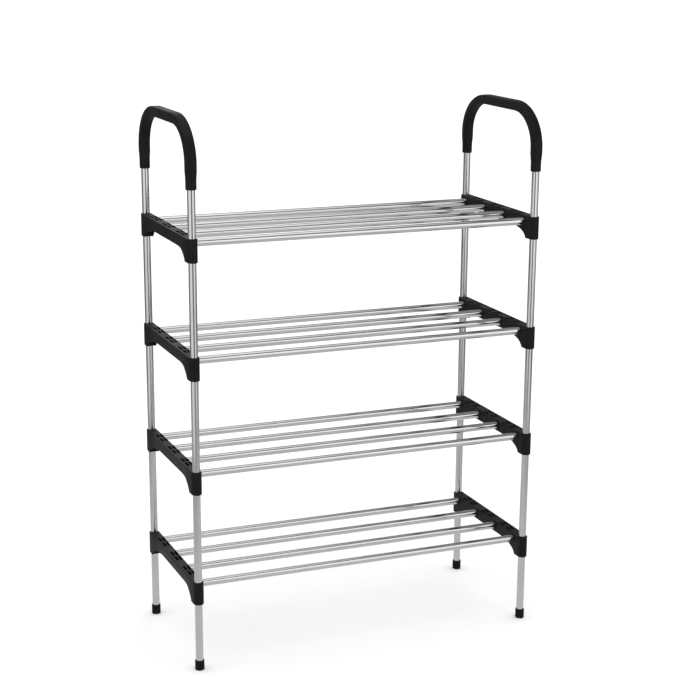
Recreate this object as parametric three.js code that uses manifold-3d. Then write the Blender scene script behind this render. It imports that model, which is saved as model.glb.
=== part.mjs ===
// A four-tier knock-down shoe rack: steel tubes pushed into black plastic end brackets,
// with a plastic carrying handle over each end and a cap under each post.
// Millimetres. +X runs along the shelf tubes, +Y to the back and +Z up, from the floor.

import * as THREE from 'three';
import { mergeVertices } from 'three/addons/utils/BufferGeometryUtils.js';
import Module from 'manifold-3d';

const wasm = await Module();
wasm.setup();

// Driving dimensions.
const postSpacingX = 600;
const postSpacingY = 258;
const tubeRadius = 6.35;
const tubeWall = 0.5;
const fitGap = 0.3;
const tierCount = 4;
const firstTierTop = 155;
const tierPitch = 190;
const shelfTubeCount = 4;
const shelfTubePitch = 73;
const socketDepth = 17.5;

// The end bracket.
const bracketWidth = 17.4;
const bracketSocketHeight = 38;
const beamDepth = 21;
const beamFootInset = 3.7;
const beamInsetLength = 190;
const shelfTubeDrop = 10;
const shelfSocketDepth = 10.2;
const gussetStart = 66;
const gussetFoot = 13;
const gussetCoreWidth = 13.8;
const gussetCoreStart = 10.6;
const gussetCoreLength = 16.4;
const pocketLength = 18.5;
const pocketWidth = 4;
const pocketRibY = 5.5;
const pocketRibX = 2.6;
const pocketShiftX = 1.8;
const pocketDepth = 12;

// The handle.
const handleBottom = 801;
const handleTop = 911.5;
const handleWidth = 17.4;
const handleBarDepth = 16.4;
const handleLegDepth = 16;
const handleEdgeRadius = 2.6;
const handleSocketRadius = 8.7;
const handleSocketHeight = 30;
const handleSocketDepth = 22;
const handleLegStart = handleBottom + 15;

// The foot cap.
const footHeight = 17;
const footRadius = 7.8;
const footFloor = 3;
const footEdge = 1.2;

const roundSides = 16;
const boreRadius = tubeRadius + fitGap;
const halfX = postSpacingX / 2;
const halfY = postSpacingY / 2;
const bracketRadius = bracketWidth / 2;

const steelLook = { color: 0xc9cacc, metalness: 1, roughness: 0.22 };
const blackLook = { color: 0x17181a, metalness: 0, roughness: 0.45 };
const footLook = { color: 0x101112, metalness: 0, roughness: 0.6 };

function solidOf(geometry) {
  const bare = geometry.index ? geometry.toNonIndexed() : geometry.clone();
  bare.deleteAttribute('normal');
  bare.deleteAttribute('uv');
  const merged = mergeVertices(bare, 1e-4);
  return new wasm.Manifold(new wasm.Mesh({
    numProp: 3,
    vertProperties: new Float32Array(merged.attributes.position.array),
    triVerts: new Uint32Array(merged.index.array),
  }));
}

function geometryOf(solid) {
  const mesh = solid.getMesh();
  const geometry = new THREE.BufferGeometry();
  geometry.setAttribute('position', new THREE.BufferAttribute(mesh.vertProperties, 3));
  geometry.setIndex(new THREE.BufferAttribute(mesh.triVerts, 1));
  geometry.computeVertexNormals();
  return geometry;
}

function meshOf(name, geometry, look) {
  const mesh = new THREE.Mesh(geometry, new THREE.MeshStandardMaterial(look));
  mesh.name = name;
  return mesh;
}

// A closed profile of [radius, height] points, turned about Z.
function turned(points, sides = roundSides) {
  const profile = points.map(([radius, height]) => new THREE.Vector2(radius, height));
  return new THREE.LatheGeometry(profile, sides).rotateX(Math.PI / 2);
}

function rod(radius, bottom, top) {
  return turned([[0, bottom], [radius, bottom], [radius, top], [0, top]]);
}

function tubeGeometry(length) {
  const outer = tubeRadius;
  const inner = tubeRadius - tubeWall;
  return turned([[inner, 0], [outer, 0], [outer, length], [inner, length], [inner, 0]]);
}

function box(width, depth, height, x, y, z) {
  return new THREE.BoxGeometry(width, depth, height).translate(x, y, z);
}

// A shape drawn in Y and Z, extruded across X and centred on X = 0.
function acrossX(shape, width, options = {}) {
  const settings = { depth: width, bevelEnabled: false, curveSegments: 8, ...options };
  const geometry = new THREE.ExtrudeGeometry(shape, settings);
  geometry.translate(0, 0, -width / 2);
  return geometry.applyMatrix4(new THREE.Matrix4().makeBasis(
    new THREE.Vector3(0, 1, 0),
    new THREE.Vector3(0, 0, 1),
    new THREE.Vector3(1, 0, 0),
  ));
}

// Seen from above: two round ends joined by flat sides.
function bracketPlan() {
  const plan = new THREE.Shape();
  plan.absarc(0, halfY, bracketRadius, 0, Math.PI);
  plan.absarc(0, -halfY, bracketRadius, Math.PI, 2 * Math.PI);
  plan.closePath();
  return new THREE.ExtrudeGeometry(plan, {
    depth: bracketSocketHeight,
    bevelEnabled: false,
    curveSegments: roundSides / 2,
  }).translate(0, 0, -bracketSocketHeight);
}

// Seen from the side: a beam that curves down to a socket at each post.
function bracketSide() {
  const end = halfY + bracketRadius + 1;
  const foot = halfY - gussetFoot;
  const start = halfY - gussetStart;
  const bendY = halfY - 19;
  const bendZ = -beamDepth - 1.5;
  const side = new THREE.Shape();
  side.moveTo(-end, 1);
  side.lineTo(-end, -bracketSocketHeight - 1);
  side.lineTo(-foot, -bracketSocketHeight - 1);
  side.lineTo(-foot, -bracketSocketHeight);
  side.quadraticCurveTo(-bendY, bendZ, -start, -beamDepth);
  side.lineTo(start, -beamDepth);
  side.quadraticCurveTo(bendY, bendZ, foot, -bracketSocketHeight);
  side.lineTo(foot, -bracketSocketHeight - 1);
  side.lineTo(end, -bracketSocketHeight - 1);
  side.lineTo(end, 1);
  side.closePath();
  return acrossX(side, bracketWidth + 2);
}

// What the outer face loses: it leans in towards the foot of the beam, between the posts.
function outerLean() {
  const edge = new THREE.Shape();
  edge.moveTo(-bracketRadius, -beamInsetLength / 2);
  edge.lineTo(-bracketRadius, beamInsetLength / 2);
  edge.lineTo(-bracketWidth, beamInsetLength / 2);
  edge.lineTo(-bracketWidth, -beamInsetLength / 2);
  edge.closePath();
  return new THREE.ExtrudeGeometry(edge, {
    depth: bracketSocketHeight,
    bevelEnabled: true,
    bevelThickness: beamDepth,
    bevelSize: beamFootInset,
    bevelSegments: 1,
  }).translate(0, 0, -beamDepth - bracketSocketHeight);
}

function shelfTubeY(index) {
  return (index - (shelfTubeCount - 1) / 2) * shelfTubePitch;
}

// A left-hand bracket, its top face at Z = 0 and its shelf sockets open towards +X.
function bracketSolid() {
  let solid = solidOf(bracketPlan()).intersect(solidOf(bracketSide()));
  solid = solid.subtract(solidOf(outerLean()));
  for (const side of [-1, 1]) {
    const upper = rod(boreRadius, -socketDepth, 1).translate(0, side * halfY, 0);
    const lowerTop = socketDepth - bracketSocketHeight;
    const lower = rod(boreRadius, -bracketSocketHeight - 1, lowerTop).translate(0, side * halfY, 0);
    solid = solid.subtract(solidOf(upper)).subtract(solidOf(lower));
    const coreY = side * (halfY - gussetCoreStart - gussetCoreLength / 2);
    const coreZ = -beamDepth - bracketSocketHeight / 2;
    const core = box(gussetCoreWidth, gussetCoreLength, bracketSocketHeight, 0, coreY, coreZ);
    solid = solid.subtract(solidOf(core));
  }
  for (let index = 0; index < shelfTubeCount; index += 1) {
    const bore = rod(boreRadius, bracketRadius - shelfSocketDepth, bracketRadius + 1);
    bore.rotateY(Math.PI / 2).translate(0, shelfTubeY(index), -shelfTubeDrop);
    solid = solid.subtract(solidOf(bore));
  }
  for (let bay = 0; bay < shelfTubeCount - 1; bay += 1) {
    const bayY = shelfTubeY(bay) + shelfTubePitch / 2;
    for (const sideX of [-1, 1]) {
      for (const sideY of [-1, 1]) {
        const x = pocketShiftX + sideX * (pocketRibX + pocketWidth) / 2;
        const y = bayY + sideY * (pocketRibY + pocketLength) / 2;
        const pocket = box(pocketWidth, pocketLength, pocketDepth + 1, x, y, (1 - pocketDepth) / 2);
        solid = solid.subtract(solidOf(pocket));
      }
    }
  }
  return solid;
}

// The handle seen from the side: straight legs, elliptical corners and a flat bar.
function handleOutline() {
  const outerY = halfY + handleLegDepth / 2;
  const innerY = halfY - handleLegDepth / 2;
  const outer = { y: 50, z: 838 };
  const inner = { y: 60, z: 841 };
  const outerRiseY = outerY - outer.y;
  const outerRiseZ = handleTop - outer.z;
  const innerRiseY = innerY - inner.y;
  const innerRiseZ = handleTop - handleBarDepth - inner.z;
  const outline = new THREE.Shape();
  outline.moveTo(outerY, handleLegStart);
  outline.lineTo(outerY, outer.z);
  outline.absellipse(outer.y, outer.z, outerRiseY, outerRiseZ, 0, Math.PI / 2);
  outline.absellipse(-outer.y, outer.z, outerRiseY, outerRiseZ, Math.PI / 2, Math.PI);
  outline.lineTo(-outerY, handleLegStart);
  outline.lineTo(-innerY, handleLegStart);
  outline.lineTo(-innerY, inner.z);
  outline.absellipse(-inner.y, inner.z, innerRiseY, innerRiseZ, Math.PI, Math.PI / 2, true);
  outline.absellipse(inner.y, inner.z, innerRiseY, innerRiseZ, Math.PI / 2, 0, true);
  outline.lineTo(innerY, handleLegStart);
  outline.closePath();
  return outline;
}

function handleSolid() {
  const bend = acrossX(handleOutline(), handleWidth - 2 * handleEdgeRadius, {
    bevelEnabled: true,
    bevelSize: handleEdgeRadius,
    bevelOffset: -handleEdgeRadius,
    bevelThickness: handleEdgeRadius,
    bevelSegments: 3,
  });
  let solid = solidOf(bend);
  for (const side of [-1, 1]) {
    const top = handleBottom + handleSocketHeight;
    const socket = rod(handleSocketRadius, handleBottom, top).translate(0, side * halfY, 0);
    solid = solid.add(solidOf(socket));
  }
  for (const side of [-1, 1]) {
    const boreTop = handleBottom + handleSocketDepth;
    const bore = rod(boreRadius, handleBottom - 1, boreTop).translate(0, side * halfY, 0);
    solid = solid.subtract(solidOf(bore));
  }
  return solid;
}

function footGeometry() {
  return turned([
    [0, 0],
    [footRadius - footEdge, 0],
    [footRadius, footEdge],
    [footRadius, footHeight - footEdge / 2],
    [footRadius - footEdge / 2, footHeight],
    [boreRadius, footHeight],
    [boreRadius, footFloor],
    [0, footFloor],
  ]);
}

function tierTop(tier) {
  return firstTierTop + tier * tierPitch;
}

// The stretches of one post, from the foot cap up into the handle.
function postStretches() {
  const intoBracket = socketDepth - fitGap;
  const stretches = [{
    name: 'leg_tube',
    bottom: footFloor + fitGap,
    top: tierTop(0) - bracketSocketHeight + intoBracket,
  }];
  for (let tier = 1; tier < tierCount; tier += 1) {
    stretches.push({
      name: `spacer_tube_${tier}`,
      bottom: tierTop(tier - 1) - intoBracket,
      top: tierTop(tier) - bracketSocketHeight + intoBracket,
    });
  }
  stretches.push({
    name: 'handle_tube',
    bottom: tierTop(tierCount - 1) - intoBracket,
    top: handleBottom + handleSocketDepth - fitGap,
  });
  return stretches;
}

const rack = new THREE.Group();
const ends = [{ name: 'left', side: -1 }, { name: 'right', side: 1 }];
const rows = [{ name: 'front', side: -1 }, { name: 'rear', side: 1 }];

function addPosts() {
  for (const end of ends) {
    for (const row of rows) {
      const corner = `${row.name}_${end.name}`;
      const foot = meshOf(`foot_cap_${corner}`, footGeometry(), footLook);
      foot.position.set(end.side * halfX, row.side * halfY, 0);
      rack.add(foot);
      for (const stretch of postStretches()) {
        const geometry = tubeGeometry(stretch.top - stretch.bottom);
        const tube = meshOf(`${stretch.name}_${corner}`, geometry, steelLook);
        tube.position.set(end.side * halfX, row.side * halfY, stretch.bottom);
        rack.add(tube);
      }
    }
  }
}

function addBrackets() {
  const geometry = geometryOf(bracketSolid());
  for (let tier = 0; tier < tierCount; tier += 1) {
    for (const end of ends) {
      const bracket = meshOf(`bracket_${tier + 1}_${end.name}`, geometry.clone(), blackLook);
      bracket.position.set(end.side * halfX, 0, tierTop(tier));
      bracket.rotation.z = end.side > 0 ? Math.PI : 0;
      rack.add(bracket);
    }
  }
}

function addShelfTubes() {
  const socketFloorX = halfX - bracketRadius + shelfSocketDepth;
  const length = 2 * (socketFloorX - fitGap);
  for (let tier = 0; tier < tierCount; tier += 1) {
    for (let index = 0; index < shelfTubeCount; index += 1) {
      const geometry = tubeGeometry(length).rotateY(Math.PI / 2);
      const tube = meshOf(`shelf_${tier + 1}_tube_${index + 1}`, geometry, steelLook);
      tube.position.set(-length / 2, shelfTubeY(index), tierTop(tier) - shelfTubeDrop);
      rack.add(tube);
    }
  }
}

function addHandles() {
  const geometry = geometryOf(handleSolid());
  for (const end of ends) {
    const handle = meshOf(`handle_${end.name}`, geometry.clone(), blackLook);
    handle.position.set(end.side * halfX, 0, 0);
    rack.add(handle);
  }
}

addPosts();
addBrackets();
addShelfTubes();
addHandles();

export default rack;
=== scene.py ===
"""A four-tier shoe rack: bright steel tubes in black plastic brackets, on a white studio floor.

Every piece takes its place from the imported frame. Sizes are in metres.
"""

import math

import bmesh
import bpy
from mathutils import Matrix, Vector


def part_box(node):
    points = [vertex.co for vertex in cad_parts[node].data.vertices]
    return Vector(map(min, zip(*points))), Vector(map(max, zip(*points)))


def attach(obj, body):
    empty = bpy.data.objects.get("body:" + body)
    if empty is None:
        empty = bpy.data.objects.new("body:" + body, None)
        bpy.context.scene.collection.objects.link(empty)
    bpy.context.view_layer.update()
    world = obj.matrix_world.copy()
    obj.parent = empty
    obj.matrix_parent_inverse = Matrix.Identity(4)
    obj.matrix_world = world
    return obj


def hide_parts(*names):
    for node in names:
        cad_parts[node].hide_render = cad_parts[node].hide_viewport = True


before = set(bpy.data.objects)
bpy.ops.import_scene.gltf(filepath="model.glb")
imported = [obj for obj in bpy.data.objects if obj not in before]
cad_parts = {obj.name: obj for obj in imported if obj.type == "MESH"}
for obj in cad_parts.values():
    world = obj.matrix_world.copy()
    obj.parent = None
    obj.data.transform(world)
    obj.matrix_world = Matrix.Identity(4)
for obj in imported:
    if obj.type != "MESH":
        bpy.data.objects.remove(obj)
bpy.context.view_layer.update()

MM = 0.001

# The bracket, in its own frame: top face at Z = 0, shelf sockets open towards +X.
SOCKET_DEPTH = 17.5 * MM
BEAM_DEPTH = 21 * MM
BEAM_LEAN = 3.7 * MM
LEAN_HALF_LENGTH = 95 * MM
LEAN_RUN = 22 * MM
GUSSET_START = 66 * MM
GUSSET_BEND = 19 * MM
GUSSET_BEND_DROP = 1.5 * MM
GUSSET_FOOT = 13 * MM
GUSSET_CORE = (13.8 * MM, 16.4 * MM)
GUSSET_CORE_START = 10.6 * MM
SHELF_TUBE_DROP = 10 * MM
SHELF_SOCKET_DEPTH = 10.2 * MM
POCKET_LENGTH = 18.5 * MM
POCKET_WIDTH = 4 * MM
POCKET_RIB_X = 2.6 * MM
POCKET_RIB_Y = 5.5 * MM
POCKET_SHIFT = 1.8 * MM
POCKET_DEPTH = 12 * MM
BRACKET_EDGE = 0.9 * MM

# Where the bracket gets narrow at its round ends, the edge takes this share of its half width.
NARROW_EDGE_SHARE = 0.6

# The handle. Its round socket turns square between the two heights of its neck.
HANDLE_BAR = 16.4 * MM
HANDLE_LEG = 16 * MM
HANDLE_SOCKET_DEPTH = 22 * MM
HANDLE_SOCKET_RISES = (4 * MM, 8 * MM)
HANDLE_NECK = (12 * MM, 32 * MM)
HANDLE_EDGE = 2.6 * MM
HANDLE_LEG_EDGE = 4 * MM

# Each elliptical corner: the place of its centre along Y, and how far the ellipse rises from it.
OUTER_CORNER = (50 * MM, 73.5 * MM)
INNER_CORNER = (60 * MM, 54.1 * MM)

# Where the flat bar has sections, as shares of the outer corner's place along Y.
BAR_STATIONS = (0.6, 0.2)

# The tubes, and the gap round each push fit.
TUBE_WALL = 0.5 * MM
FIT_GAP = 0.3 * MM

# The foot cap. Three shallow grooves run round it at these heights.
FOOT_FLOOR = 3 * MM
FOOT_EDGE = 1.2 * MM
FOOT_LIP = 0.5 * MM
GROOVE_DEPTH = 0.25 * MM
GROOVE_LEVELS = (5 * MM, 8 * MM, 11 * MM)

# How many steps each curve has.
TUBE_SIDES = 64
EDGE_STEPS = 3
BEAM_STEPS = 6
GUSSET_STEPS = 14
ROUND_END_STEPS = 15
NECK_STEPS = 8
CORNER_STEPS = 24
LOOP_ARC = 6
LOOP_FLAT = 4

# Edges sharper than this many degrees stay sharp, and vertices closer than this are one.
TUBE_CREASE = 60
BRACKET_CREASE = 35
HANDLE_CREASE = 50
FOOT_CREASE = 40
WELD_DISTANCE = 1e-7

# The four corners of a section in turn, as the signs of their two places.
QUADRANTS = ((1, 1), (-1, 1), (-1, -1), (1, -1))
UP = Vector((0, 0, 1))
OUTWARD = Vector((0, 1, 0))

# The camera and the lights.
CAMERA_AT = Vector((-1.0676, -2.6161, 1.1946))
CAMERA_AZIMUTH = 0.394
CAMERA_DOWN = 0.274
CAMERA_ROLL = 0.007
CAMERA_LENS = 86.99
CAMERA_SENSOR = 36
CAMERA_SHIFT = (0.0008, 0.0722)
WORLD_LIGHT = 1.3
FLOOR_RADIUS = 60
FLOOR_WHITE = 0.9
ROOM_RADIUS = 6
ROOM_GLOW = 0.2
FLOOR_GLOW = 0.65
FLOOR_CARD_DROP = 2 * MM
WALL_GLOW = 0.55
BOX_DISTANCE = 1.45
BOX_TOP = 1.45
BOX_BRIGHT_REACH = 0.6


# ---------------------------------------------------------------- the frame

def nodes_named(start):
    return sorted(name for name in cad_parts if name.startswith(start))


def corners_of(node):
    low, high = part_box(node)
    return Vector(low), Vector(high)


def centre_of(node):
    low, high = corners_of(node)
    return (low + high) / 2


def size_of(node):
    low, high = corners_of(node)
    return high - low


def top_of(node):
    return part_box(node)[1][2]


TUBE_NODES = [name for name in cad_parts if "tube" in name]
SHELF_NODES = [name for name in TUBE_NODES if name.startswith("shelf")]
BRACKET_NODES = nodes_named("bracket")
HANDLE_NODES = nodes_named("handle_left") + nodes_named("handle_right")
FOOT_NODES = nodes_named("foot_cap")

TUBE_RADIUS = size_of(SHELF_NODES[0]).z / 2
BORE_RADIUS = TUBE_RADIUS + FIT_GAP
POST_Y = abs(centre_of(FOOT_NODES[0]).y)
SHELF_TUBE_Y = sorted({round(centre_of(name).y, 5) for name in SHELF_NODES})


# ---------------------------------------------------------------- materials

def node_material(name):
    material = bpy.data.materials.new(name)
    material.use_nodes = True
    return material, material.node_tree.nodes["Principled BSDF"]


def stretched_noise(tree, stretch, detail=3.0):
    """Noise over the object's own coordinates, with its own scale along each axis."""
    place = tree.nodes.new("ShaderNodeTexCoord")
    mapping = tree.nodes.new("ShaderNodeMapping")
    mapping.inputs["Scale"].default_value = stretch
    noise = tree.nodes.new("ShaderNodeTexNoise")
    noise.inputs["Scale"].default_value = 1.0
    noise.inputs["Detail"].default_value = detail
    tree.links.new(place.outputs["Object"], mapping.inputs["Vector"])
    tree.links.new(mapping.outputs["Vector"], noise.inputs["Vector"])
    return noise


def even_noise(tree, scale, detail):
    return stretched_noise(tree, (scale, scale, scale), detail)


def spread(tree, value, low, high):
    """Maps a noise value onto low to high. Most of the noise lies between 0.25 and 0.75."""
    remap = tree.nodes.new("ShaderNodeMapRange")
    remap.inputs["From Min"].default_value = 0.25
    remap.inputs["From Max"].default_value = 0.75
    remap.inputs["To Min"].default_value = low
    remap.inputs["To Max"].default_value = high
    tree.links.new(value, remap.inputs["Value"])
    return remap.outputs["Result"]


def blended_colour(tree, value, first, second):
    ramp = tree.nodes.new("ShaderNodeValToRGB")
    ramp.color_ramp.elements[0].position = 0.3
    ramp.color_ramp.elements[0].color = (*first, 1)
    ramp.color_ramp.elements[1].position = 0.7
    ramp.color_ramp.elements[1].color = (*second, 1)
    tree.links.new(value, ramp.inputs["Fac"])
    return ramp.outputs["Color"]


def add_bump(tree, shader, height, strength, distance):
    bump = tree.nodes.new("ShaderNodeBump")
    bump.inputs["Strength"].default_value = strength
    bump.inputs["Distance"].default_value = distance
    tree.links.new(height, bump.inputs["Height"])
    tree.links.new(bump.outputs["Normal"], shader.inputs["Normal"])


def steel(name, along):
    """Bright drawn tube: fine polishing lines that run along the tube."""
    material, shader = node_material(name)
    tree = material.node_tree
    shader.inputs["Metallic"].default_value = 1.0
    across = 1500.0
    lengthwise = 9.0
    stretch = [across, across, across]
    stretch[along] = lengthwise
    lines = stretched_noise(tree, stretch)
    broad = even_noise(tree, 28.0, 2.0)
    colour = blended_colour(tree, broad.outputs["Fac"], (0.65, 0.655, 0.66), (0.69, 0.695, 0.70))
    roughness = spread(tree, lines.outputs["Fac"], 0.09, 0.15)
    tree.links.new(colour, shader.inputs["Base Color"])
    tree.links.new(roughness, shader.inputs["Roughness"])
    add_bump(tree, shader, lines.outputs["Fac"], 0.1, 0.002 * MM)
    return material


def moulded_black(name, colour, lighter, roughness, grain_height):
    """Moulded plastic: a fine spark-eroded grain and a faint, slow change of gloss."""
    material, shader = node_material(name)
    tree = material.node_tree
    grain = even_noise(tree, 2600.0, 2.0)
    slow = even_noise(tree, 45.0, 3.0)
    shade = blended_colour(tree, slow.outputs["Fac"], colour, lighter)
    gloss = spread(tree, slow.outputs["Fac"], roughness - 0.05, roughness + 0.05)
    tree.links.new(shade, shader.inputs["Base Color"])
    tree.links.new(gloss, shader.inputs["Roughness"])
    shader.inputs["Specular IOR Level"].default_value = 0.12
    add_bump(tree, shader, grain.outputs["Fac"], 0.35, grain_height)
    return material


POST_STEEL = steel("steel_up", 2)
SHELF_STEEL = steel("steel_across", 0)
BLACK_PLASTIC = moulded_black(
    "black_plastic",
    colour=(0.005, 0.005, 0.0053),
    lighter=(0.008, 0.008, 0.0083),
    roughness=0.5,
    grain_height=0.03 * MM,
)
BLACK_CAP = moulded_black(
    "black_cap",
    colour=(0.004, 0.004, 0.004),
    lighter=(0.006, 0.006, 0.006),
    roughness=0.55,
    grain_height=0.04 * MM,
)


# ---------------------------------------------------------------- mesh tools

def clean_mesh(mesh_tool, name):
    """The mesh that a mesh tool holds, with its doubles welded and all normals outward."""
    mesh = bpy.data.meshes.new(name)
    bmesh.ops.remove_doubles(mesh_tool, verts=mesh_tool.verts, dist=WELD_DISTANCE)
    bmesh.ops.recalc_face_normals(mesh_tool, faces=mesh_tool.faces)
    mesh_tool.to_mesh(mesh)
    mesh_tool.free()
    return mesh


def object_of(mesh, name):
    made = bpy.data.objects.new(name, mesh)
    bpy.context.collection.objects.link(made)
    return made


def piece_of(mesh, name, node, material, crease):
    """Puts a finished mesh in place of a CAD node. Its large faces look flat up to their edges."""
    mesh.shade_smooth()
    mesh.set_sharp_from_angle(angle=math.radians(crease))
    mesh.materials.clear()
    mesh.materials.append(material)
    piece = object_of(mesh, name)
    shading = piece.modifiers.new("shading", "WEIGHTED_NORMAL")
    shading.keep_sharp = True
    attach(piece, "root")
    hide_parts(node)


def bridge(mesh_tool, rings, closed=False):
    """Joins rings of vertices, each a closed loop of the same count, one to the next."""
    pairs = list(zip(rings, rings[1:]))
    if closed:
        pairs.append((rings[-1], rings[0]))
    for first, second in pairs:
        count = len(first)
        for index in range(count):
            after = (index + 1) % count
            mesh_tool.faces.new((first[index], first[after], second[after], second[index]))


def turned(profile, sides, closed):
    """Turns [radius, height] points about Z. A closed profile makes a hollow ring."""
    mesh_tool = bmesh.new()
    rings = []
    for radius, height in profile:
        ring = []
        for index in range(sides):
            angle = 2 * math.pi * index / sides
            place = (radius * math.cos(angle), radius * math.sin(angle), height)
            ring.append(mesh_tool.verts.new(place))
        rings.append(ring)
    bridge(mesh_tool, rings, closed)
    if not closed:
        mesh_tool.faces.new(rings[0])
        mesh_tool.faces.new(rings[-1])
    return mesh_tool


def arc(centre, radius, start, end, steps):
    """Points of an arc in degrees, both ends included."""
    points = []
    for step in range(steps + 1):
        angle = math.radians(start + (end - start) * step / steps)
        points.append((centre[0] + radius * math.cos(angle), centre[1] + radius * math.sin(angle)))
    return points


def eased(share):
    """A smooth step from 0 to 1."""
    return share * share * (3 - 2 * share)


# ---------------------------------------------------------------- tubes

def tube_profile(length):
    """Half the wall's section, with its cut ends rounded over."""
    inner = TUBE_RADIUS - TUBE_WALL
    rim = TUBE_WALL / 2
    middle = TUBE_RADIUS - rim
    return (
        arc((middle, -length / 2 + rim), rim, 180, 360, 4)
        + arc((middle, length / 2 - rim), rim, 0, 180, 4)
        + [(inner, 0)]
    )


def make_tube(node):
    low, high = corners_of(node)
    along_x = node in SHELF_NODES
    length = (high - low).x if along_x else (high - low).z
    mesh_tool = turned(tube_profile(length), TUBE_SIDES, True)
    if along_x:
        lay_down = Matrix.Rotation(math.pi / 2, 3, "Y")
        bmesh.ops.rotate(mesh_tool, verts=mesh_tool.verts, matrix=lay_down)
    bmesh.ops.translate(mesh_tool, verts=mesh_tool.verts, vec=(low + high) / 2)
    material = SHELF_STEEL if along_x else POST_STEEL
    name = f"{node}.steel"
    piece_of(clean_mesh(mesh_tool, name), name, node, material, TUBE_CREASE)


# ---------------------------------------------------------------- brackets

def gusset_point(share, height):
    """The curve under the beam, from its flat underside out to the socket's foot."""
    start = Vector((POST_Y - GUSSET_START, -BEAM_DEPTH))
    bend = Vector((POST_Y - GUSSET_BEND, -BEAM_DEPTH - GUSSET_BEND_DROP))
    foot = Vector((POST_Y - GUSSET_FOOT, -height))
    return (1 - share) ** 2 * start + 2 * share * (1 - share) * bend + share ** 2 * foot


def bracket_stations(radius, height):
    """Along half the bracket: [place, half width, depth], from the middle to the round end."""
    rows = []
    for step in range(BEAM_STEPS):
        rows.append(((POST_Y - GUSSET_START) * step / BEAM_STEPS, radius, BEAM_DEPTH))
    for step in range(GUSSET_STEPS + 1):
        place, foot = gusset_point(step / GUSSET_STEPS, height)
        rows.append((place, radius, -foot))
    rows.append((POST_Y - GUSSET_FOOT / 2, radius, height))
    for step in range(ROUND_END_STEPS):
        angle = math.radians(90 * step / ROUND_END_STEPS)
        rows.append((POST_Y + radius * math.sin(angle), radius * math.cos(angle), height))
    return rows


def outer_lean(place):
    """How far the foot of the outer face stands in: full in the middle, none at the posts."""
    share = (abs(place) - LEAN_HALF_LENGTH + LEAN_RUN) / (2 * LEAN_RUN)
    return BEAM_LEAN * (1 - eased(min(max(share, 0.0), 1.0)))


def section(place, half_width, depth):
    """The bracket cut across at one place along it, as a loop of (x, z) points."""
    edge = min(BRACKET_EDGE, half_width * NARROW_EDGE_SHARE)
    slope = outer_lean(place)
    points = arc((half_width - edge, -edge), edge, 0, 90, EDGE_STEPS)
    points += arc((-half_width + edge, -edge), edge, 90, 180, EDGE_STEPS)
    points += arc((-half_width + slope + edge, -depth + edge), edge, 180, 270, EDGE_STEPS)
    points += arc((half_width - edge, -depth + edge), edge, 270, 360, EDGE_STEPS)
    return points


def bracket_body(radius, height):
    half = bracket_stations(radius, height)
    rows = [(-place, wide, deep) for place, wide, deep in reversed(half[1:])] + half
    mesh_tool = bmesh.new()
    rings = []
    for place, wide, deep in rows:
        rings.append([mesh_tool.verts.new((x, place, z)) for x, z in section(place, wide, deep)])
    bridge(mesh_tool, rings)
    mesh_tool.faces.new(rings[0])
    mesh_tool.faces.new(rings[-1])
    return mesh_tool


def socket_cutter(mesh_tool, depth, matrix):
    """A bore with a flared mouth: its floor at -depth and its mouth at Z = 0."""
    flare = 0.5 * MM
    past_mouth = 2 * MM
    profile = [
        (BORE_RADIUS, -depth),
        (BORE_RADIUS, -flare),
        (BORE_RADIUS + flare, 0),
        (BORE_RADIUS + flare, past_mouth),
    ]
    bore = turned(profile, TUBE_SIDES, False)
    bmesh.ops.transform(bore, verts=bore.verts, matrix=matrix)
    join_into(mesh_tool, bore)


def core_cutter(mesh_tool, centre, width, length, levels):
    """A box with round upright edges. Levels are [height, growth], from its floor to its mouth."""
    corner = 0.7 * MM
    rings = []
    for height, grow in levels:
        ring = []
        for turn, (side_x, side_y) in enumerate(QUADRANTS):
            middle_x = centre[0] + side_x * (width / 2 + grow - corner)
            middle_y = centre[1] + side_y * (length / 2 + grow - corner)
            for point in arc((middle_x, middle_y), corner, 90 * turn, 90 * turn + 90, EDGE_STEPS):
                ring.append(mesh_tool.verts.new((*point, height)))
        rings.append(ring)
    bridge(mesh_tool, rings)
    mesh_tool.faces.new(rings[0])
    mesh_tool.faces.new(rings[-1])


def pocket_cutter(mesh_tool, x, y):
    """A pocket with drafted walls and an eased rim, open at the top face."""
    draft = 0.25 * MM
    rim_depth = 0.4 * MM
    rim_growth = 0.3 * MM
    past_mouth = 1 * MM
    levels = [
        (-POCKET_DEPTH, -draft),
        (-rim_depth, 0),
        (0, rim_growth),
        (past_mouth, rim_growth),
    ]
    core_cutter(mesh_tool, (x, y), POCKET_WIDTH, POCKET_LENGTH, levels)


def gusset_core_cutter(mesh_tool, side, height):
    """The hollow under one gusset, open at its curved underside."""
    draft = 0.2 * MM
    past_mouth = 1 * MM
    middle = side * (POST_Y - GUSSET_CORE_START - GUSSET_CORE[1] / 2)
    levels = [(-BEAM_DEPTH, -draft), (-height - past_mouth, 0)]
    core_cutter(mesh_tool, (0, middle), *GUSSET_CORE, levels)


def join_into(mesh_tool, other):
    mesh = bpy.data.meshes.new("joined")
    other.to_mesh(mesh)
    other.free()
    mesh_tool.from_mesh(mesh)
    bpy.data.meshes.remove(mesh)


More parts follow.
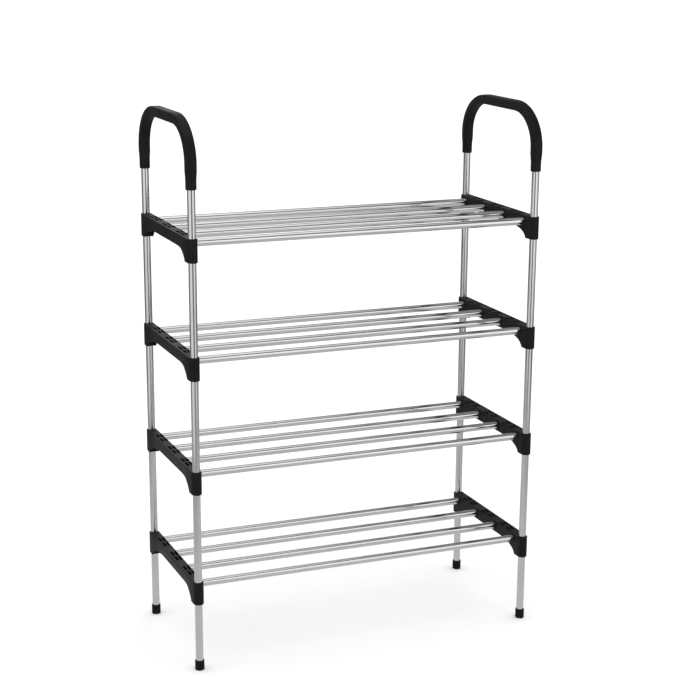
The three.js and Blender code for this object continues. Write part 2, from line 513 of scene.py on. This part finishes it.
def bracket_cutters(radius, height):
    mesh_tool = bmesh.new()
    turn_over = Matrix.Rotation(math.pi, 4, "X")
    for side in (-1, 1):
        post = Matrix.Translation((0, side * POST_Y, 0))
        socket_cutter(mesh_tool, SOCKET_DEPTH, post)
        under = Matrix.Translation((0, side * POST_Y, -height))
        socket_cutter(mesh_tool, SOCKET_DEPTH, under @ turn_over)
        gusset_core_cutter(mesh_tool, side, height)
    for place in SHELF_TUBE_Y:
        mouth = Matrix.Translation((radius, place, -SHELF_TUBE_DROP))
        socket_cutter(mesh_tool, SHELF_SOCKET_DEPTH, mouth @ Matrix.Rotation(math.pi / 2, 4, "Y"))
    for first, second in zip(SHELF_TUBE_Y, SHELF_TUBE_Y[1:]):
        for side_x in (-1, 1):
            for side_y in (-1, 1):
                x = POCKET_SHIFT + side_x * (POCKET_RIB_X + POCKET_WIDTH) / 2
                y = (first + second) / 2 + side_y * (POCKET_RIB_Y + POCKET_LENGTH) / 2
                pocket_cutter(mesh_tool, x, y)
    return mesh_tool


def cut_mesh(body_tool, cutter_tool):
    """The body less the cutters, as a finished mesh."""
    body = object_of(clean_mesh(body_tool, "body"), "body")
    cutter = object_of(clean_mesh(cutter_tool, "cutter"), "cutter")
    cut = body.modifiers.new("cut", "BOOLEAN")
    cut.operation = "DIFFERENCE"
    cut.solver = "EXACT"
    cut.object = cutter
    shown = body.evaluated_get(bpy.context.evaluated_depsgraph_get())
    mesh = bpy.data.meshes.new_from_object(shown)
    bpy.data.objects.remove(body)
    bpy.data.objects.remove(cutter)
    return mesh


def make_brackets():
    size = size_of(BRACKET_NODES[0])
    radius = size.x / 2
    mesh = cut_mesh(bracket_body(radius, size.z), bracket_cutters(radius, size.z))
    for node in BRACKET_NODES:
        centre = centre_of(node)
        placed = mesh.copy()
        facing = Matrix.Rotation(math.pi if centre.x > 0 else 0, 4, "Z")
        placed.transform(Matrix.Translation((centre.x, centre.y, top_of(node))) @ facing)
        piece_of(placed, f"{node}.plastic", node, BLACK_PLASTIC, BRACKET_CREASE)


# ---------------------------------------------------------------- handles

def circle_loop(radius):
    """The same count of points as rounded_loop, in the same order."""
    count = 4 * (LOOP_ARC + LOOP_FLAT)
    points = []
    for index in range(count):
        angle = 2 * math.pi * (index - LOOP_ARC / 2) / count + math.pi / 4
        points.append((radius * math.cos(angle), radius * math.sin(angle)))
    return points


def rounded_loop(half_x, half_t, edge):
    """A rectangle with round edges as (x, t) points: an arc at each corner, then the next flat."""
    points = []
    for turn, (side_x, side_t) in enumerate(QUADRANTS):
        middle = (side_x * (half_x - edge), side_t * (half_t - edge))
        points += arc(middle, edge, 90 * turn, 90 * turn + 90, LOOP_ARC)
        length = (half_x - edge if turn % 2 == 0 else half_t - edge) * 2
        end_x, end_t = points[-1]
        heading = math.radians(90 * turn + 180)
        for step in range(1, LOOP_FLAT):
            along = length * step / LOOP_FLAT
            points.append((end_x + along * math.cos(heading), end_t + along * math.sin(heading)))
    return points


def blended_loop(first, second, share):
    return [
        (a[0] * (1 - share) + b[0] * share, a[1] * (1 - share) + b[1] * share)
        for a, b in zip(first, second)
    ]


def leg_rows(bottom, half_width):
    """Up one leg, from its round socket to its square section: [centre, outward, section]."""
    round_loop = circle_loop(half_width)
    square_loop = rounded_loop(half_width, HANDLE_LEG / 2, HANDLE_LEG_EDGE)
    neck_start, neck_end = HANDLE_NECK
    rows = []
    for rise in (*HANDLE_SOCKET_RISES, neck_start):
        rows.append((Vector((0, POST_Y, bottom + rise)), OUTWARD, round_loop))
    for step in range(1, NECK_STEPS + 1):
        rise = neck_start + (neck_end - neck_start) * step / NECK_STEPS
        loop = blended_loop(round_loop, square_loop, eased(step / NECK_STEPS))
        rows.append((Vector((0, POST_Y, bottom + rise)), OUTWARD, loop))
    return rows


def corner_edge(centre, reach, rise, angle):
    """A point on one of the two elliptical edges of the handle's corner."""
    return centre + OUTWARD * reach * math.cos(angle) + UP * rise * math.sin(angle)


def corner_rows(top, half_width):
    """Round one corner, from the leg to the bar."""
    outer_centre = Vector((0, OUTER_CORNER[0], top - OUTER_CORNER[1]))
    inner_centre = Vector((0, INNER_CORNER[0], top - HANDLE_BAR - INNER_CORNER[1]))
    outer_reach = POST_Y + HANDLE_LEG / 2 - OUTER_CORNER[0]
    inner_reach = POST_Y - HANDLE_LEG / 2 - INNER_CORNER[0]
    rows = []
    for step in range(CORNER_STEPS + 1):
        angle = math.pi / 2 * step / CORNER_STEPS
        outer = corner_edge(outer_centre, outer_reach, OUTER_CORNER[1], angle)
        inner = corner_edge(inner_centre, inner_reach, INNER_CORNER[1], angle)
        across = outer - inner
        edge_share = min(2 * step / CORNER_STEPS, 1)
        edge = HANDLE_LEG_EDGE + (HANDLE_EDGE - HANDLE_LEG_EDGE) * edge_share
        loop = rounded_loop(half_width, across.length / 2, edge)
        rows.append(((outer + inner) / 2, across.normalized(), loop))
    return rows


def bar_rows(top, half_width):
    """Along the flat bar, towards its middle."""
    loop = rounded_loop(half_width, HANDLE_BAR / 2, HANDLE_EDGE)
    rows = []
    for share in BAR_STATIONS:
        centre = Vector((0, OUTER_CORNER[0] * share, top - HANDLE_BAR / 2))
        rows.append((centre, UP, loop))
    return rows


def handle_ring(mesh_tool, centre, outward, loop, side):
    """One section of the handle. The half at side -1 is the other half seen in a mirror."""
    ring = []
    for x, t in loop:
        point = centre + outward * t
        ring.append(mesh_tool.verts.new((x, side * point.y, point.z)))
    return ring


def socket_end(mesh_tool, side, bottom, outer_radius):
    """Rings from the bore's floor down and out round the rounded rim of one socket."""
    rim = (outer_radius - BORE_RADIUS) / 2
    middle = BORE_RADIUS + rim
    profile = [(BORE_RADIUS, HANDLE_SOCKET_DEPTH)] + arc((middle, rim), rim, 180, 360, LOOP_ARC)
    rings = []
    for radius, rise in profile:
        ring = []
        for x, t in circle_loop(radius):
            ring.append(mesh_tool.verts.new((x, side * (POST_Y + t), bottom + rise)))
        rings.append(ring)
    return rings


def handle_mesh(bottom, top, half_width):
    mesh_tool = bmesh.new()
    half = leg_rows(bottom, half_width) + corner_rows(top, half_width) + bar_rows(top, half_width)
    near = [handle_ring(mesh_tool, *row, 1) for row in half]
    far = [handle_ring(mesh_tool, *row, -1) for row in reversed(half)]
    start = socket_end(mesh_tool, 1, bottom, half_width)
    end = list(reversed(socket_end(mesh_tool, -1, bottom, half_width)))
    rings = start + near + far + end
    bridge(mesh_tool, rings)
    mesh_tool.faces.new(rings[0])
    mesh_tool.faces.new(rings[-1])
    return mesh_tool


def make_handle(node):
    low, high = corners_of(node)
    mesh_tool = handle_mesh(low.z, high.z, (high.x - low.x) / 2)
    bmesh.ops.translate(mesh_tool, verts=mesh_tool.verts, vec=((low.x + high.x) / 2, 0, 0))
    name = f"{node}.plastic"
    mesh = clean_mesh(mesh_tool, name)
    piece_of(mesh, name, node, BLACK_PLASTIC, HANDLE_CREASE)


# ---------------------------------------------------------------- foot caps

def foot_profile(radius, height):
    """From the underside out, up past three shallow grooves, over the lip and down the bore."""
    mouth = 0.5 * MM
    root = 0.2 * MM
    turn = arc((radius - FOOT_EDGE, FOOT_EDGE), FOOT_EDGE, -90, 0, 5)
    profile = [(radius - FOOT_EDGE, 0)] + turn[1:]
    for level in GROOVE_LEVELS:
        profile += [
            (radius, level - mouth),
            (radius - GROOVE_DEPTH, level - root),
            (radius - GROOVE_DEPTH, level + root),
            (radius, level + mouth),
        ]
    profile += arc((radius - FOOT_LIP, height - FOOT_LIP), FOOT_LIP, 0, 90, 4)
    profile += [(BORE_RADIUS, height), (BORE_RADIUS, FOOT_FLOOR)]
    return profile


def make_foot(node):
    centre = centre_of(node)
    size = size_of(node)
    mesh_tool = turned(foot_profile(size.x / 2, size.z), TUBE_SIDES, False)
    bmesh.ops.translate(mesh_tool, verts=mesh_tool.verts, vec=(centre.x, centre.y, 0))
    name = f"{node}.cap"
    piece_of(clean_mesh(mesh_tool, name), name, node, BLACK_CAP, FOOT_CREASE)


# ---------------------------------------------------------------- the studio

def make_camera():
    """The view from the left front, a little above the handles."""
    data = bpy.data.cameras.new("camera")
    data.lens = CAMERA_LENS
    data.sensor_width = CAMERA_SENSOR
    data.shift_x, data.shift_y = CAMERA_SHIFT
    camera = bpy.data.objects.new("camera", data)
    bpy.context.collection.objects.link(camera)
    ahead = Vector((
        math.sin(CAMERA_AZIMUTH) * math.cos(CAMERA_DOWN),
        math.cos(CAMERA_AZIMUTH) * math.cos(CAMERA_DOWN),
        -math.sin(CAMERA_DOWN),
    ))
    level = Vector((math.cos(CAMERA_AZIMUTH), -math.sin(CAMERA_AZIMUTH), 0))
    upward = level.cross(ahead)
    right = level * math.cos(CAMERA_ROLL) + upward * math.sin(CAMERA_ROLL)
    over = right.cross(ahead)
    turn = Matrix((right, over, -ahead)).transposed().to_4x4()
    camera.matrix_world = Matrix.Translation(CAMERA_AT) @ turn
    bpy.context.scene.camera = camera


def glowing(name, strength):
    material, shader = node_material(name)
    shader.inputs["Base Color"].default_value = (0, 0, 0, 1)
    shader.inputs["Specular IOR Level"].default_value = 0
    shader.inputs["Emission Color"].default_value = (1, 1, 1, 1)
    shader.inputs["Emission Strength"].default_value = strength
    return material


def fading(name, near, near_glow, far, far_glow):
    """A glow that fades with the distance from the object's own centre."""
    material = glowing(name, near_glow)
    tree = material.node_tree
    place = tree.nodes.new("ShaderNodeTexCoord")
    distance = tree.nodes.new("ShaderNodeVectorMath")
    distance.operation = "LENGTH"
    fade = tree.nodes.new("ShaderNodeMapRange")
    fade.interpolation_type = "SMOOTHSTEP"
    fade.inputs["From Min"].default_value = near
    fade.inputs["From Max"].default_value = far
    fade.inputs["To Min"].default_value = near_glow
    fade.inputs["To Max"].default_value = far_glow
    tree.links.new(place.outputs["Object"], distance.inputs[0])
    tree.links.new(distance.outputs["Value"], fade.inputs["Value"])
    shader = tree.nodes["Principled BSDF"]
    tree.links.new(fade.outputs["Result"], shader.inputs["Emission Strength"])
    return material


def stage_piece(mesh_tool, name, material):
    mesh = bpy.data.meshes.new(name)
    mesh_tool.to_mesh(mesh)
    mesh_tool.free()
    mesh.materials.append(material)
    piece = object_of(mesh, name)
    return piece


def only_in_reflections(piece):
    piece.visible_camera = False
    piece.visible_diffuse = False
    piece.visible_shadow = False
    piece.visible_transmission = False


def rectangle(width, height):
    """Faces along Y. It stands on Z = 0, or hangs from it where the height is negative."""
    mesh_tool = bmesh.new()
    half = width / 2
    corners = [(-half, 0, 0), (half, 0, 0), (half, 0, height), (-half, 0, height)]
    mesh_tool.faces.new([mesh_tool.verts.new(corner) for corner in corners])
    return mesh_tool


def disc(radius):
    mesh_tool = bmesh.new()
    bmesh.ops.create_circle(mesh_tool, cap_ends=True, segments=64, radius=radius)
    return mesh_tool


def make_floor():
    """A white floor out to the horizon."""
    material, shader = node_material("floor_white")
    shader.inputs["Base Color"].default_value = (FLOOR_WHITE, FLOOR_WHITE, FLOOR_WHITE, 1)
    shader.inputs["Roughness"].default_value = 1.0
    shader.inputs["Specular IOR Level"].default_value = 0
    floor = stage_piece(disc(FLOOR_RADIUS), "floor", material)
    floor.visible_glossy = False


def fading_disc(name, radius, near, near_glow, far_glow):
    glow = fading(f"{name}_glow", near, near_glow, radius, far_glow)
    return stage_piece(disc(radius), name, glow)


def soft_box(name, direction, width, near_glow, far_glow):
    """An upright softbox, its direction in degrees from the camera, to the camera's right."""
    glow = fading(f"{name}_glow", BOX_BRIGHT_REACH, near_glow, BOX_TOP, far_glow)
    box = stage_piece(rectangle(width, -BOX_TOP), name, glow)
    angle = -CAMERA_AZIMUTH + math.radians(direction)
    box.location = (BOX_DISTANCE * math.sin(angle), -BOX_DISTANCE * math.cos(angle), BOX_TOP)
    box.rotation_euler.z = angle
    return box


def make_reflected_room():
    """What the steel mirrors: a dim room, a floor, and lights that fade towards their edges."""
    room = bmesh.new()
    bmesh.ops.create_uvsphere(room, u_segments=32, v_segments=16, radius=ROOM_RADIUS)
    room = stage_piece(room, "room", glowing("room_glow", ROOM_GLOW))
    floor = fading_disc("floor_card", radius=2.4, near=0.3, near_glow=FLOOR_GLOW, far_glow=ROOM_GLOW)
    floor.location.z = -FLOOR_CARD_DROP
    overhead = fading_disc("overhead", radius=1.7, near=0.6, near_glow=1.3, far_glow=ROOM_GLOW)
    overhead.location = (-0.3, 0, 2.3)
    back = fading_disc("back_card", radius=1.6, near=0.5, near_glow=1.4, far_glow=0.4)
    back.rotation_euler.x = math.pi / 2
    back.location = (0.6, 3, 1.3)
    wall_glow = glowing("wall_glow", WALL_GLOW)
    right_wall = stage_piece(rectangle(width=2.8, height=2), "right_wall", wall_glow)
    right_wall.rotation_euler.z = math.pi / 2
    right_wall.location = (2.5, -1.9, 0)
    boxes = [
        soft_box("left_box", direction=-40, width=1.7, near_glow=1.1, far_glow=0.8),
        soft_box("right_box", direction=46, width=1.15, near_glow=1.35, far_glow=0.8),
    ]
    for piece in [room, floor, overhead, back, right_wall] + boxes:
        only_in_reflections(piece)


def make_light():
    """An even white tent that lights the floor and the plastic from all round."""
    world = bpy.data.worlds.new("studio")
    bpy.context.scene.world = world
    world.use_nodes = True
    background = world.node_tree.nodes["Background"]
    background.inputs["Color"].default_value = (1, 1, 1, 1)
    background.inputs["Strength"].default_value = WORLD_LIGHT
    world.cycles_visibility.glossy = False
    bpy.context.scene.view_settings.view_transform = "Standard"


# ---------------------------------------------------------------- the build

for tube_node in TUBE_NODES:
    make_tube(tube_node)
make_brackets()
for handle_node in HANDLE_NODES:
    make_handle(handle_node)
for foot_node in FOOT_NODES:
    make_foot(foot_node)
make_camera()
make_floor()
make_reflected_room()
make_light()
